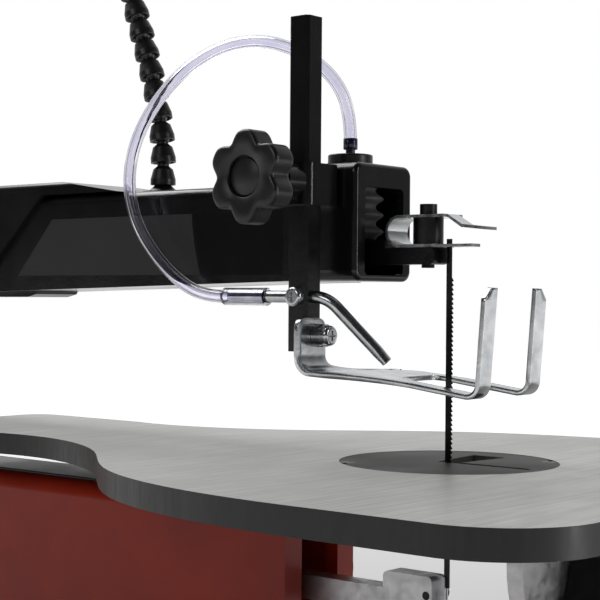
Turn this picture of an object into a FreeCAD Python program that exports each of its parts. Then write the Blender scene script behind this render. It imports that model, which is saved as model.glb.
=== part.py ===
"""Parallel-arm bench scroll saw, one STEP file per sub-part, in millimetres.

Every shape is drawn in the blade's own frame: the blade's line is x = 0, y = 0, the table's top is z = 0,
+X is the saw's right, +Y its rear and +Z up. save() moves the shapes to the part's frame, whose origin is
the centre of the four bench bolt holes, on the base's underside.
"""

import FreeCAD, Part
import math
import os

V = FreeCAD.Vector
X, Y, Z = V(1, 0, 0), V(0, 1, 0), V(0, 0, 1)

# ---------------------------------------------------------------- driving dimensions
BENCH_CENTRE_Y = 205.0  # from the blade back to the middle of the base
TABLE_HEIGHT = 215.0  # table's top above the bench
TABLE_LENGTH_FRONT = 131.0  # the table's front edge ahead of the blade
TABLE_REAR = 275.0
TABLE_HALF_WIDTH = 127.0
TABLE_THICK = 9.0
TABLE_NECK = 41.0  # half width of the table's narrow rear
INSERT_RADIUS = 39.8
TILT_AXIS_Z = -26.0

PIVOT_Y = 425.0  # both rocker arms turn about here
UPPER_PIVOT_Z = 76.4
LOWER_PIVOT_Z = -53.0
ROCKER_HALF_WIDTH = 4.5
ROCKER_HALF_HEIGHT = 4.7
PIN_RADIUS = 4.0
BUSH_RADIUS = 6.5
RUNNING = 0.05  # radial clearance of a shaft in its hole
TENSION_Y = 462.0

LOWER_GRIP_Z = -49.0
BLADE_TOP, BLADE_LENGTH, BLADE_WIDTH, BLADE_THICK = 81.0, 127.0, 3.0, 0.5
TOOTH_PITCH, TOOTH_DEPTH = 25.4 / 15, 0.8

ARM_HALF_WIDTH = 22.0
ARM_TOP, ARM_BOTTOM_FRONT, ARM_BOTTOM_REAR = 102.6, 65.4, 60.4
ARM_FRONT, ARM_REAR = 58.0, 488.0
ARM_KNEE = 250.0  # the arm's underside slopes down to here, then runs level
HEAD_HALF_WIDTH, HEAD_FRONT, HEAD_BOTTOM, HEAD_TOP = 17.6, 30.0, 65.5, 109.6
WINDOW_HALF_WIDTH, WINDOW_BOTTOM, WINDOW_TOP = 12.0, 67.8, 100.7
CAP_Y, CAP_RADIUS, CAP_TOP = 46.5, 8.6, 114.0

ROD_X, ROD_Y, ROD_SIDE, ROD_BOTTOM, ROD_TOP = -30.0, 44.0, 9.4, 39.5, 162.0
PIPE_Z, PIPE_RADIUS = 59.5, 2.25
FOOT_SCREW_Z = 45.5
CLAMP_Z = 101.5
PLATE_THICK = 1.9
PRONG_TOP = 63.2

BASE_TOP, BASE_HALF_WIDTH, BASE_HALF_LENGTH = -185.0, 115.0, 290.0
BENCH_HOLE_X, BENCH_HOLE_Y, BENCH_HOLE_RADIUS = 92.0, 265.0, 4.3

MOTOR_Y, MOTOR_Z, MOTOR_RADIUS = 330.0, -128.0, 44.0
CRANK_THROW = 1.59
CRANK_DROP = 0.92  # the crank pin's height below the motor's axis at rest

HOSE_RADIUS = 2.5
HOSE_ROUTE = [
    (0, 46.5, 117.5),
    (0, 46.5, 131),
    (-4.5, 52, 145),
    (-10, 65, 155),
    (-14, 81, 160),
    (-18, 98, 158.5),
    (-22, 114, 150.5),
    (-25, 127.5, 138),
    (-27.5, 137, 122),
    (-29, 139, 105),
    (-30.2, 133, 89),
    (-30.6, 121.5, 75.5),
    (-30.4, 107, 64.5),
    (-30, 93.5, 59.5),
    (-30, 83, 59.5),
]


# ---------------------------------------------------------------- helpers
def box(x0, x1, y0, y1, z0, z1):
    return Part.makeBox(x1 - x0, y1 - y0, z1 - z0, V(x0, y0, z0))


def rod(start, axis, length, radius):
    return Part.makeCylinder(radius, length, V(*start), axis)


def ring(start, axis, length, outer, inner):
    return rod(start, axis, length, outer).cut(rod(start, axis, length, inner))


def prism(points, push):
    """A closed outline of 3-D points, pushed through a vector."""
    return Part.Face(Part.makePolygon([*points, points[0]])).extrude(push)


def side_plate(outline, x0, x1):
    """An outline in y, z made solid from x0 to x1."""
    return prism([V(x0, y, z) for y, z in outline], V(x1 - x0, 0, 0))


def front_plate(outline, y0, y1):
    """An outline in x, z made solid from y0 to y1."""
    return prism([V(x, y0, z) for x, z in outline], V(0, y1 - y0, 0))


def fuse(first, *others):
    return first.multiFuse(list(others)).removeSplitter()


def group(shapes):
    return Part.makeCompound(shapes)


def along(edge, axis):
    """Whether an edge is straight and parallel to an axis."""
    if not isinstance(edge.Curve, Part.Line):
        return False
    return edge.Curve.Direction.cross(axis).Length < 1e-6


def rounded(shape, radius, pick):
    return shape.makeFillet(radius, [e for e in shape.Edges if pick(e)])


def rounded_box(x0, x1, y0, y1, z0, z1, radius, axis):
    """A box whose edges along one axis are rounded."""
    return rounded(box(x0, x1, y0, y1, z0, z1), radius, lambda e: along(e, axis))


def hexagon(start, axis, length, across):
    """A hexagonal bar, across its flats, with its first corner along Z or Y."""
    first = Z if abs(axis.z) < 0.5 else Y
    other = axis.cross(first)
    r = across / math.sqrt(3)
    turns = [math.radians(60 * n) for n in range(6)]
    corners = [V(*start) + first * (r * math.cos(t)) + other * (r * math.sin(t)) for t in turns]
    return prism(corners, axis * length)


def pan_screw(seat, axis, head_radius, head_height, shank_radius, shank_length):
    """A cross-recessed pan head standing on seat along axis, with its shank behind it."""
    head = rod(seat, axis, head_height, head_radius)
    rim = [e for e in head.Edges if abs((e.CenterOfMass - V(*seat)).dot(axis) - head_height) < 1e-6]
    head = head.makeFillet(head_height * 0.45, rim)
    side = axis.cross(X if abs(axis.x) < 0.5 else Y)
    other = axis.cross(side)
    half, slim, deep = head_radius * 0.5, head_radius * 0.12, head_height * 0.5
    floor = V(*seat) + axis * (head_height - deep)
    for long, thin in ((side, other), (other, side)):
        signs = ((1, 1), (-1, 1), (-1, -1), (1, -1))
        corners = [long * (a * half) + thin * (b * slim) for a, b in signs]
        head = head.cut(prism([floor + c for c in corners], axis * (deep + 1)))
    if shank_length:
        head = head.fuse(rod(seat, axis * -1, shank_length, shank_radius)).removeSplitter()
    return head


def lobed_knob(start, axis, length, radius, lobes):
    """A star knob: a disc with round lobes, standing on start along axis."""
    side = axis.cross(X if abs(axis.x) < 0.5 else Y)
    other = axis.cross(side)
    body = rod(start, axis, length, radius * 0.78)
    lobe_radius = radius * 0.3
    for n in range(lobes):
        turn = 2 * math.pi * n / lobes
        centre = V(*start) + (side * math.cos(turn) + other * math.sin(turn)) * (radius - lobe_radius)
        body = body.fuse(Part.makeCylinder(lobe_radius, length, centre, axis))
    return body.removeSplitter()


def bent_tube(points, radius, share=0.45):
    """A tube along straight runs joined by tangent arcs. Each arc takes a share of the shorter run that it
    joins, so its radius is that over the tangent of half the turn. Gives the solid, its length and radii."""
    points = [V(*p) for p in points]
    edges, radii, start = [], [], points[0]
    for before, corner, after in zip(points, points[1:], points[2:]):
        back, ahead = before - corner, after - corner
        cut = share * min(back.Length, ahead.Length)
        back.normalize()
        ahead.normalize()
        half_turn = (math.pi - back.getAngle(ahead)) / 2
        r = cut / math.tan(half_turn)
        middle = back + ahead
        middle.normalize()
        nearest = r / math.cos(half_turn) - r
        enter, leave = corner + back * cut, corner + ahead * cut
        edges.append(Part.LineSegment(start, enter).toShape())
        edges.append(Part.Arc(enter, corner + middle * nearest, leave).toShape())
        radii.append(r)
        start = leave
    edges.append(Part.LineSegment(start, points[-1]).toShape())
    path = Part.Wire(edges)
    section = Part.Wire(Part.Circle(points[0], points[1] - points[0], radius).toShape())
    return path.makePipeShell([section], True, True), path.Length, radii


def report_tube(name, solid, length, radii, radius):
    ratio = solid.Volume / (math.pi * radius**2 * length)
    rounds = [round(r, 1) for r in radii]
    print(name, "length", round(length, 1), "volume ratio", round(ratio, 4), "radii", rounds)


def save(name, shape):
    """Writes one node, moved from the blade's frame to the part's."""
    shape = shape.copy()
    shape.translate(V(0, -BENCH_CENTRE_Y, TABLE_HEIGHT))
    shape.exportStep(f"parts/{name}.step")


# ---------------------------------------------------------------- base and C-frame
def base():
    rear, front = BENCH_CENTRE_Y + BASE_HALF_LENGTH, BENCH_CENTRE_Y - BASE_HALF_LENGTH
    wall = 7.0
    outer = rounded_box(-BASE_HALF_WIDTH, BASE_HALF_WIDTH, front, rear, -TABLE_HEIGHT, BASE_TOP, 35, Z)
    outer = rounded(outer, 6, lambda e: e.BoundBox.ZMin > BASE_TOP - 0.01)
    cavity = rounded_box(
        -BASE_HALF_WIDTH + wall,
        BASE_HALF_WIDTH - wall,
        front + wall,
        rear - wall,
        -TABLE_HEIGHT,
        BASE_TOP - 6,
        28,
        Z,
    )
    shape = outer.cut(cavity)
    centres = []
    for x in (-BENCH_HOLE_X, BENCH_HOLE_X):
        centres += [(x, BENCH_CENTRE_Y + y, -TABLE_HEIGHT) for y in (-BENCH_HOLE_Y, BENCH_HOLE_Y)]
    shape = fuse(shape, *[rod(c, Z, 26, 12) for c in centres])
    for c in centres:
        shape = shape.cut(rod(c, Z, 60, BENCH_HOLE_RADIUS))
    return shape


FRAME_HALF_WIDTH, FRAME_TOP, FRAME_FLOOR = 21.0, -20.0, -88.0
FRAME_FRONT, FRAME_REAR, CASE_FRONT, SPINE_FRONT = 60.0, 486.0, 272.0, 440.0
FRAME_BOLTS = [(x, y) for x in (-36, 36) for y in (279, 479)]
COVER_SCREWS = [(y, z) for y in (CASE_FRONT + 21, FRAME_REAR - 29) for z in (BASE_TOP + 23, FRAME_FLOOR + 21)]
DUST_Y, DUST_Z = 110.0, -58.0
GLAND_Z = -150.0


def c_frame():
    """The frame's three cast sections: the deep lower arm, the crank case behind it and the hollow spine
    that rises from the case to the upper arm."""
    outline = [
        (FRAME_FRONT, FRAME_TOP),
        (SPINE_FRONT, FRAME_TOP),
        (SPINE_FRONT, ARM_BOTTOM_REAR),
        (FRAME_REAR, ARM_BOTTOM_REAR),
        (FRAME_REAR, BASE_TOP),
        (CASE_FRONT, BASE_TOP),
        (CASE_FRONT - 18, FRAME_FLOOR),
        (FRAME_FRONT, FRAME_FLOOR),
    ]
    w, wall = FRAME_HALF_WIDTH, 5.0
    shape = side_plate(outline, -w, w)
    shape = rounded(shape, 7, lambda e: along(e, Y) and abs(e.CenterOfMass.z - FRAME_TOP) < 0.1)
    flange = rounded_box(-46, 46, CASE_FRONT - 4, FRAME_REAR + 2, BASE_TOP, BASE_TOP + 8, 10, Z)
    shape = fuse(shape, flange)
    w -= wall
    shape = shape.cut(box(-w, w, FRAME_FRONT + 6, FRAME_REAR - wall, FRAME_FLOOR + wall, FRAME_TOP - 7.5))
    shape = shape.cut(box(-w, w, CASE_FRONT + wall, FRAME_REAR - wall, BASE_TOP - 1, FRAME_FLOOR + wall + 1))
    shape = shape.cut(box(-w, w, SPINE_FRONT + 6, FRAME_REAR - wall, FRAME_TOP - 10, ARM_BOTTOM_REAR + 1))
    shape = shape.cut(box(-11, 11, FRAME_FRONT - 1, FRAME_FRONT + 8, FRAME_FLOOR + 10, FRAME_TOP - 12))
    shape = shape.cut(rod((0, FRAME_FRONT - 1, TILT_AXIS_Z), Y, 8, 3.0))
    shape = shape.cut(rod((w - 1, MOTOR_Y, MOTOR_Z), X, 10, 12.0))
    shape = shape.cut(rod((w - 1, DUST_Y, DUST_Z), X, 10, 13.0))
    shape = shape.cut(rod((0, FRAME_REAR - 8, GLAND_Z), Y, 12, 5.0))
    for x, y in FRAME_BOLTS:
        shape = shape.cut(rod((x, y, BASE_TOP - 1), Z, 12, 3.2))
    case_start = CASE_FRONT - 18
    lower_arm = box(-100, 100, 0, case_start, -300, FRAME_TOP)
    case = box(-100, 100, case_start, 600, -300, FRAME_TOP)
    spine = box(-100, 100, case_start, 600, FRAME_TOP, 200)
    return group([shape.common(section) for section in (lower_arm, case, spine)])


def frame_bolts():
    bolts = []
    for x, y in FRAME_BOLTS:
        head = hexagon((x, y, BASE_TOP + 8), Z, 5, 10)
        bolts.append(head.fuse(rod((x, y, BASE_TOP), Z, 8, 3.1)).removeSplitter())
    return group(bolts)


def side_cover():
    """The plate over the crank case's left side."""
    x = -FRAME_HALF_WIDTH
    plate = rounded_box(x - 2.5, x, CASE_FRONT + 12, FRAME_REAR - 20, BASE_TOP + 14, FRAME_FLOOR + 30, 9, X)
    for y, z in COVER_SCREWS:
        plate = plate.cut(rod((x - 4, y, z), X, 6, 1.8))
    return plate


def cover_screws():
    x = -FRAME_HALF_WIDTH - 2.5
    return group([pan_screw((x, y, z), X * -1, 3.6, 2.4, 1.75, 2.5) for y, z in COVER_SCREWS])


def dust_port():
    """The spigot for a vacuum hose, on the lower arm's right side."""
    x = FRAME_HALF_WIDTH
    flange = rounded_box(x, x + 3, DUST_Y - 24, DUST_Y + 24, DUST_Z - 21, DUST_Z + 21, 6, X)
    shape = fuse(flange, rod((x, DUST_Y, DUST_Z), X, 42, 17.5))
    return shape.cut(rod((x - 1, DUST_Y, DUST_Z), X, 60, 14.5))


def cord_gland():
    collar = rod((0, FRAME_REAR, GLAND_Z), Y, 4, 9)
    inner = rod((0, FRAME_REAR - 5, GLAND_Z), Y, 5, 4.9)
    outer = rod((0, FRAME_REAR + 4, GLAND_Z), Y, 10, 6.5)
    return fuse(collar, inner, outer).cut(rod((0, FRAME_REAR - 6, GLAND_Z), Y, 30, 3.5))


# ---------------------------------------------------------------- upper arm housing
PANEL_DEPTH = 0.8
PANEL_TOP, PANEL_BOTTOM = 92.3, 67.9
PANEL_SEAM = [(109.5, PANEL_TOP), (109.0, 87.0), (107.9, 80.0), (106.3, 73.5), (104.6, PANEL_BOTTOM)]
LABEL_OUTLINE = [*PANEL_SEAM, (217.0, PANEL_BOTTOM), (194.0, PANEL_TOP)]
GLOSS_OUTLINE = [(y - 1.8, z) for y, z in PANEL_SEAM] + [(61.5, PANEL_BOTTOM), (61.5, PANEL_TOP)]


def arm_half():
    """The left half of the upper arm's housing, with the head at its front."""
    outline = [
        (ARM_FRONT, ARM_BOTTOM_FRONT),
        (ARM_FRONT, ARM_TOP),
        (ARM_REAR, ARM_TOP),
        (ARM_REAR, ARM_BOTTOM_REAR),
        (ARM_KNEE, ARM_BOTTOM_REAR),
    ]
    arm = side_plate(outline, -ARM_HALF_WIDTH, 0)
    arm = rounded(arm, 4, lambda e: along(e, Y) and e.BoundBox.XMax < -1 and e.CenterOfMass.z > 90)
    head = box(-HEAD_HALF_WIDTH, 0, HEAD_FRONT, ARM_FRONT + 2, HEAD_BOTTOM, HEAD_TOP)
    head = rounded(head, 4, lambda e: e.BoundBox.XMax < -1 and along(e, Y))
    head = rounded(head, 1.8, lambda e: e.BoundBox.YMax < HEAD_FRONT + 0.01 and e.BoundBox.XMin < -0.01)
    shape = fuse(arm, head)
    front, rear, roof = ARM_FRONT - 4, ARM_REAR - 6, ARM_TOP - 3
    inside = [(front, 67.8), (front, roof), (rear, roof), (rear, 64.0)]
    cavity = side_plate(inside, -ARM_HALF_WIDTH + 4, 0)
    head_room = box(-14.8, 0, HEAD_FRONT + 3, ARM_FRONT + 4, 67.8, HEAD_TOP - 3)
    w, y = WINDOW_HALF_WIDTH, HEAD_FRONT
    window = rounded_box(-w, w, y - 1, y + 4, WINDOW_BOTTOM, WINDOW_TOP, 2, Y)
    cap_hole = rod((0, CAP_Y, HEAD_TOP - 4), Z, 5, 5.0)
    spine_hole = box(-14, 0, SPINE_FRONT + 8, FRAME_REAR - 7, 50, 70)
    knob_hole = rod((0, TENSION_Y, ARM_TOP - 5), Z, 8, 7.0)
    recess = side_plate(LABEL_OUTLINE, -ARM_HALF_WIDTH, -ARM_HALF_WIDTH + PANEL_DEPTH)
    gloss = side_plate(GLOSS_OUTLINE, -ARM_HALF_WIDTH, -ARM_HALF_WIDTH + PANEL_DEPTH)
    for hollow in (cavity, head_room, window, cap_hole, spine_hole, knob_hole, recess, gloss):
        shape = shape.cut(hollow)
    return shape.removeSplitter()


def rear_cover():
    """The raised hood that wraps the rear of the upper arm; its front edge slants back to the bottom."""
    low = ARM_BOTTOM_REAR
    outline = [(150, 102.8), (187, 108.4), (493, 108.4), (498, 104), (498, low), (245, low), (198, 102.8)]
    shape = side_plate(outline, -24.6, 24.6)
    shape = rounded(shape, 3, lambda e: along(e, Y) and e.CenterOfMass.z > 108)
    shape = shape.cut(box(-22.15, 22.15, 100, ARM_REAR + 0.4, 50, ARM_TOP + 0.15))
    shape = shape.cut(rod((0, TENSION_Y, ARM_TOP - 1), Z, 12, 7.0))
    return shape.cut(rod((LAMP_X, LAMP_Y, ARM_TOP - 1), Z, 12, 9.0))


def belly_plate():
    """The cover under the upper arm, from the throat's middle back to the spine."""
    top = ARM_BOTTOM_REAR - 0.05
    outline = [(215, 61.2), (ARM_KNEE, top), (436, top), (436, 57.4), (222, 58.5), (216, 59.8)]
    return side_plate(outline, -12, 12)


def side_panel(outline, side):
    """A thin plate that fills a recess in the arm's side; side is -1 on the left and 1 on the right."""
    outer = side * (ARM_HALF_WIDTH - 0.1)
    inner = side * (ARM_HALF_WIDTH - PANEL_DEPTH)
    return side_plate(outline, min(outer, inner), max(outer, inner))


def arm_screws():
    """The screws that hold the arm's halves together, on the right side."""
    places = [(HEAD_HALF_WIDTH, 50, 73), (HEAD_HALF_WIDTH, 50, 103.5), (24.6, 270, 84), (24.6, 400, 84)]
    return group([pan_screw(place, X, 3.2, 2.0, 1.4, 0) for place in places])


# ---------------------------------------------------------------- rocker arms and blade
GRIP_Y, UPPER_GRIP_Z = 6.5, 74.6
SPACER_Y, SPACER_RADIUS = 9.8, 5.6
LEAF_LOW, LEAF_HIGH, LEAF_THICK = 78.0, 88.8, 1.1
CLAMP_BEND_Y = 18.9  # the centre of the clamp plate's bend


def rocker(z, tip_low, tip_high, grip_z):
    """A rocker arm about z. Its tip reaches from tip_low to tip_high, and a split tongue grips the blade."""
    w, h = ROCKER_HALF_WIDTH, ROCKER_HALF_HEIGHT
    bar = box(-w, w, 20, TENSION_Y + 10, z - h, z + h)
    tip = rounded_box(-w, w, 4.0, 26, tip_low, tip_high, 2.0, X)
    tongue = box(-1.2, 1.2, 0.6, 6, tip_low + 0.5, tip_high)
    eye = rod((-w, PIVOT_Y, z), X, 2 * w, 9.5)
    shape = fuse(bar, tip, tongue, eye)
    shape = shape.cut(rod((-w - 1, PIVOT_Y, z), X, 2 * w + 2, BUSH_RADIUS))
    shape = shape.cut(rod((0, TENSION_Y, z - 12), Z, 24, 3.6))
    slit = BLADE_THICK / 2 + 0.05
    shape = shape.cut(box(-slit, slit, 0, 3.2, tip_low - 1, tip_high + 1))
    return shape.cut(rod((-w - 1, GRIP_Y, grip_z), X, 2 * w + 2, 1.6))


def upper_rocker():
    shape = rocker(UPPER_PIVOT_Z, UPPER_PIVOT_Z - ROCKER_HALF_HEIGHT, LEAF_LOW - 0.1, UPPER_GRIP_Z)
    shape = shape.cut(box(-6, 6, 3, CLAMP_BEND_Y + 7.5, LEAF_LOW - 0.1, 90))
    return shape.cut(rod((0, SPACER_Y, 60), Z, 30, 1.7))


def lower_rocker():
    shape = rocker(LOWER_PIVOT_Z, LOWER_PIVOT_Z - ROCKER_HALF_HEIGHT, -42.0, LOWER_GRIP_Z)
    return shape.cut(rod((-6, MOTOR_Y, LOWER_PIVOT_Z), X, 12, 3.0))


def grip_screw(z):
    """The cross screw behind the tongue, flush on the left and with its head on the right."""
    w = ROCKER_HALF_WIDTH
    return fuse(rod((-w, GRIP_Y, z), X, 2 * w, 1.6), rod((w, GRIP_Y, z), X, 2.4, 2.6))


def bushing(z):
    w = ROCKER_HALF_WIDTH
    return ring((-w, PIVOT_Y, z), X, 2 * w, BUSH_RADIUS, PIN_RADIUS + RUNNING)


def blade():
    """A fine-toothed blade: plain at both ends, with teeth along its front edge."""
    rear, front = BLADE_WIDTH / 2, -BLADE_WIDTH / 2
    bottom = BLADE_TOP - BLADE_LENGTH
    gullet = front + TOOTH_DEPTH
    outline = [(rear, bottom), (rear, BLADE_TOP), (gullet, BLADE_TOP), (gullet, 67.0)]
    count = int((67.0 + 30.0) / TOOTH_PITCH)
    for n in range(count):
        z = 67.0 - n * TOOTH_PITCH
        outline += [(front, z - TOOTH_PITCH * 0.75), (gullet, z - TOOTH_PITCH)]
    outline.append((gullet, bottom))
    return side_plate(outline, -BLADE_THICK / 2, BLADE_THICK / 2)


def clamp_plate():
    """The blade clamp's bright spring plate: two leaves joined by a bend at the rear, each with a front tab.
    The blade passes through a slot in the lower tab."""
    half, t, bend_y = 6.2, LEAF_THICK, CLAMP_BEND_Y
    low = box(-half, half, 2.5, bend_y, LEAF_LOW, LEAF_LOW + t)
    low_tab = box(-2.8, 2.8, -11, 3, LEAF_LOW, LEAF_LOW + t).cut(box(-0.4, 0.4, -2.0, 2.0, 70, 90))
    high = box(-half, half, -1.0, bend_y, LEAF_HIGH, LEAF_HIGH + t)
    middle = (LEAF_LOW + LEAF_HIGH + t) / 2
    bend_radius = (LEAF_HIGH + t - LEAF_LOW) / 2
    bend = ring((-half, bend_y, middle), X, 2 * half, bend_radius, bend_radius - t)
    bend = bend.common(box(-half, half, bend_y, bend_y + 8, LEAF_LOW - 1, LEAF_HIGH + 3))
    roof = LEAF_HIGH + t
    slope = [(-1.0, roof), (-1.0, LEAF_HIGH), (-7.0, 85.0), (-17.4, 83.9), (-17.4, 85.0), (-7.4, 86.1)]
    high_tab = side_plate(slope, -3.6, 3.6)
    shape = fuse(low, low_tab, high, bend, high_tab)
    return shape.cut(rod((0, SPACER_Y, 70), Z, 40, 1.7))


def clamp_spacer():
    low = LEAF_LOW + LEAF_THICK
    return ring((0, SPACER_Y, low), Z, LEAF_HIGH - low, SPACER_RADIUS, 1.7)


def clamp_screw():
    top = LEAF_HIGH + LEAF_THICK
    head = rod((0, SPACER_Y, top), Z, 4, 3.2)
    head = head.cut(hexagon((0, SPACER_Y, top + 1.8), Z, 4, 2.5))
    nut = hexagon((0, SPACER_Y, 70.5), Z, 1.2, 4.6)
    return fuse(head, rod((0, SPACER_Y, 70.5), Z, top - 70.5, 1.7), nut)


def tension_rod():
    return rod((0, TENSION_Y, -66), Z, 188, 3.0)


def tension_nut():
    shape = hexagon((0, TENSION_Y, -65), Z, 65 + LOWER_PIVOT_Z - ROCKER_HALF_HEIGHT - 0.4, 11)
    return shape.cut(rod((0, TENSION_Y, -70), Z, 30, 3.0))


def tension_spring():
    """A stack of spring washers between the upper rocker and the tension knob's hub."""
    low, pitch, washers = UPPER_PIVOT_Z + ROCKER_HALF_HEIGHT + 0.4, 1.95, 8
    stack = []
    for n in range(washers):
        z = low + n * pitch
        lift = 0.9 if n % 2 else 0.0
        outline = [(3.05, z + 0.9 - lift), (6.3, z + lift), (6.3, z + lift + 1.0), (3.05, z + 1.9 - lift)]
        face = Part.Face(Part.makePolygon([V(x, TENSION_Y, h) for x, h in [*outline, outline[0]]]))
        stack.append(face.revolve(V(0, TENSION_Y, 0), Z, 360))
    return group(stack)


def tension_knob():
    hub = rod((0, TENSION_Y, 97.6), Z, 15, 5.5)
    shape = fuse(hub, lobed_knob((0, TENSION_Y, 112), Z, 15, 20, 7))
    return shape.cut(rod((0, TENSION_Y, 90), Z, 32.5, 3.0 + RUNNING))


# ---------------------------------------------------------------- drive
ROD_INNER_X, ROD_THICK = 5.0, 5.0


def connecting_rod():
    x, t = ROD_INNER_X, ROD_THICK
    small, big = V(x, MOTOR_Y, LOWER_PIVOT_Z), V(x, MOTOR_Y, MOTOR_Z - CRANK_DROP)
    web = box(x, x + t, MOTOR_Y - 4, MOTOR_Y + 4, big.z + 8, small.z - 5)
    shape = fuse(web, Part.makeCylinder(7, t, small, X), Part.makeCylinder(13, t, big, X))
    shape = shape.cut(Part.makeCylinder(3.0 + RUNNING, t, small, X))
    return shape.cut(Part.makeCylinder(8.0, t, big, X))


def rocker_pin():
    length = ROCKER_HALF_WIDTH + ROD_INNER_X + ROD_THICK + 1
    return rod((-ROCKER_HALF_WIDTH, MOTOR_Y, LOWER_PIVOT_Z), X, length, 3.0)


def crank():
    """The disc on the motor's shaft with its eccentric pin, and a counterweight opposite to the pin."""
    x = ROD_INNER_X + ROD_THICK + 0.5
    offset = math.sqrt(CRANK_THROW**2 - CRANK_DROP**2)
    disc = rod((x, MOTOR_Y, MOTOR_Z), X, 4.5, 14)
    pin = rod((ROD_INNER_X - 0.5, MOTOR_Y + offset, MOTOR_Z - CRANK_DROP), X, x - ROD_INNER_X + 0.5, 4.0)
    return fuse(disc, pin).cut(rod((x + 1.5, MOTOR_Y, MOTOR_Z), X, 10, 4.0))


def motor_shaft():
    return rod((12.0, MOTOR_Y, MOTOR_Z), X, 110, 4.0)


def motor_flange():
    shape = rod((FRAME_HALF_WIDTH, MOTOR_Y, MOTOR_Z), X, 5, 49)
    shape = shape.cut(rod((FRAME_HALF_WIDTH, MOTOR_Y, MOTOR_Z), X, 5, 12.0))
    for y, z in MOTOR_BOLTS:
        shape = shape.cut(rod((FRAME_HALF_WIDTH, y, z), X, 5, 2.1))
    return shape


def motor_circle(radius, count, start_deg):
    turns = [math.radians(start_deg + 360 * n / count) for n in range(count)]
    return [(MOTOR_Y + radius * math.cos(t), MOTOR_Z + radius * math.sin(t)) for t in turns]


MOTOR_BOLTS = motor_circle(46.4, 4, 45)
MOTOR_CAN_START, MOTOR_CAN_END = 26.0, 112.0


def motor_bolts():
    x = FRAME_HALF_WIDTH
    return group([rod((x, y, z), X, 5, 2.1).fuse(rod((x + 5, y, z), X, 2.5, 2.3)) for y, z in MOTOR_BOLTS])


def motor_can():
    length = MOTOR_CAN_END - MOTOR_CAN_START
    return ring((MOTOR_CAN_START, MOTOR_Y, MOTOR_Z), X, length, MOTOR_RADIUS, MOTOR_RADIUS - 3)


def motor_cover():
    """The motor's end cover, with cooling slots and the rear bearing's seat."""
    x = MOTOR_CAN_END
    shape = rod((x, MOTOR_Y, MOTOR_Z), X, 15, MOTOR_RADIUS)
    shape = rounded(shape, 5, lambda e: e.CenterOfMass.x > x + 14 and e.Length > 200)
    shape = shape.cut(rod((x - 1, MOTOR_Y, MOTOR_Z), X, 12, MOTOR_RADIUS - 3))
    shape = fuse(shape, rod((x + 5, MOTOR_Y, MOTOR_Z), X, 8, 12))
    shape = shape.cut(rod((x + 4, MOTOR_Y, MOTOR_Z), X, 7, 8.0))
    for y, z in motor_circle(27, 12, 0):
        shape = shape.cut(rod((x + 9, y, z), X, 8, 4.0))
    return shape


def bearing(x, outer, length):
    """A shielded ball bearing as one ring, clear of the turning shaft."""
    return ring((x, MOTOR_Y, MOTOR_Z), X, length, outer, 4.0 + RUNNING)


def stator():
    return ring((38, MOTOR_Y, MOTOR_Z), X, 56, MOTOR_RADIUS - 3, 28.6)


def rotor():
    return ring((36, MOTOR_Y, MOTOR_Z), X, 60, 28.0, 4.05)


def cooling_fan():
    x = 99.0
    hub = rod((x, MOTOR_Y, MOTOR_Z), X, 9, 10)
    disc = rod((x, MOTOR_Y, MOTOR_Z), X, 1.5, 35)
    vane = box(x + 1, x + 9, MOTOR_Y + 9, MOTOR_Y + 34, MOTOR_Z - 0.8, MOTOR_Z + 0.8)
    vanes = []
    for n in range(9):
        turned = vane.copy()
        turned.rotate(V(x, MOTOR_Y, MOTOR_Z), X, 40 * n)
        vanes.append(turned)
    return fuse(hub, disc, *vanes).cut(rod((x - 1, MOTOR_Y, MOTOR_Z), X, 20, 4.05))


# ---------------------------------------------------------------- table
def table_face(z):
    """The table's outline: a broad rounded front and a narrow rear, joined by an S curve on each side."""
    side = [
        (TABLE_NECK, 205.0),
        (TABLE_NECK + 5.5, 152.0),
        (66.0, 117.0),
        (87.0, 92.0),
        (104.0, 68.0),
        (117.0, 38.0),
        (124.0, 8.0),
        (TABLE_HALF_WIDTH, -30.0),
    ]
    curves = []
    for sign in (1, -1):
        curve = Part.BSplineCurve()
        curve.interpolate([V(sign * x, y, z) for x, y in side])
        curves.append(curve.toShape())
    shoulder = 60.0
    front, rear, corner = -TABLE_LENGTH_FRONT, TABLE_REAR, 12.0
    diagonal = corner * (1 - math.sqrt(0.5))
    edges = [*curves]
    bow = front + 18.0
    nose = Part.Arc(V(-shoulder - 34, bow, z), V(0, front, z), V(shoulder + 34, bow, z)).toShape()
    edges.append(nose)
    for sign in (1, -1):
        w, neck = sign * TABLE_HALF_WIDTH, sign * TABLE_NECK
        edges.append(Part.LineSegment(V(w, -30, z), V(w, bow + 34, z)).toShape())
        knee = V(sign * (TABLE_HALF_WIDTH - 8.5), bow + 10.5, z)
        edges.append(Part.Arc(V(w, bow + 34, z), knee, V(sign * (shoulder + 34), bow, z)).toShape())
        edges.append(Part.LineSegment(V(neck, 205, z), V(neck, rear - corner, z)).toShape())
        bend = V(neck - sign * diagonal, rear - diagonal, z)
        edges.append(Part.Arc(V(neck, rear - corner, z), bend, V(neck - sign * corner, rear, z)).toShape())
    end = TABLE_NECK - corner
    edges.append(Part.LineSegment(V(-end, rear, z), V(end, rear, z)).toShape())
    return Part.Face(Part.Wire(Part.__sortEdges__(edges)))


def table():
    shape = table_face(-TABLE_THICK).extrude(Z * TABLE_THICK)
    shape = shape.cut(rod((0, 0, -2.6), Z, 5, INSERT_RADIUS + 0.1))
    shape = shape.cut(rod((0, 0, -20), Z, 30, INSERT_RADIUS - 5))
    for x, y in INSERT_SCREWS:
        shape = shape.cut(rod((x, y, -20), Z, 30, 1.5))
    return shape


INSERT_SCREWS = [(37.0 * math.cos(t), 37.0 * math.sin(t)) for t in (math.radians(135), math.radians(-45))]


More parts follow.
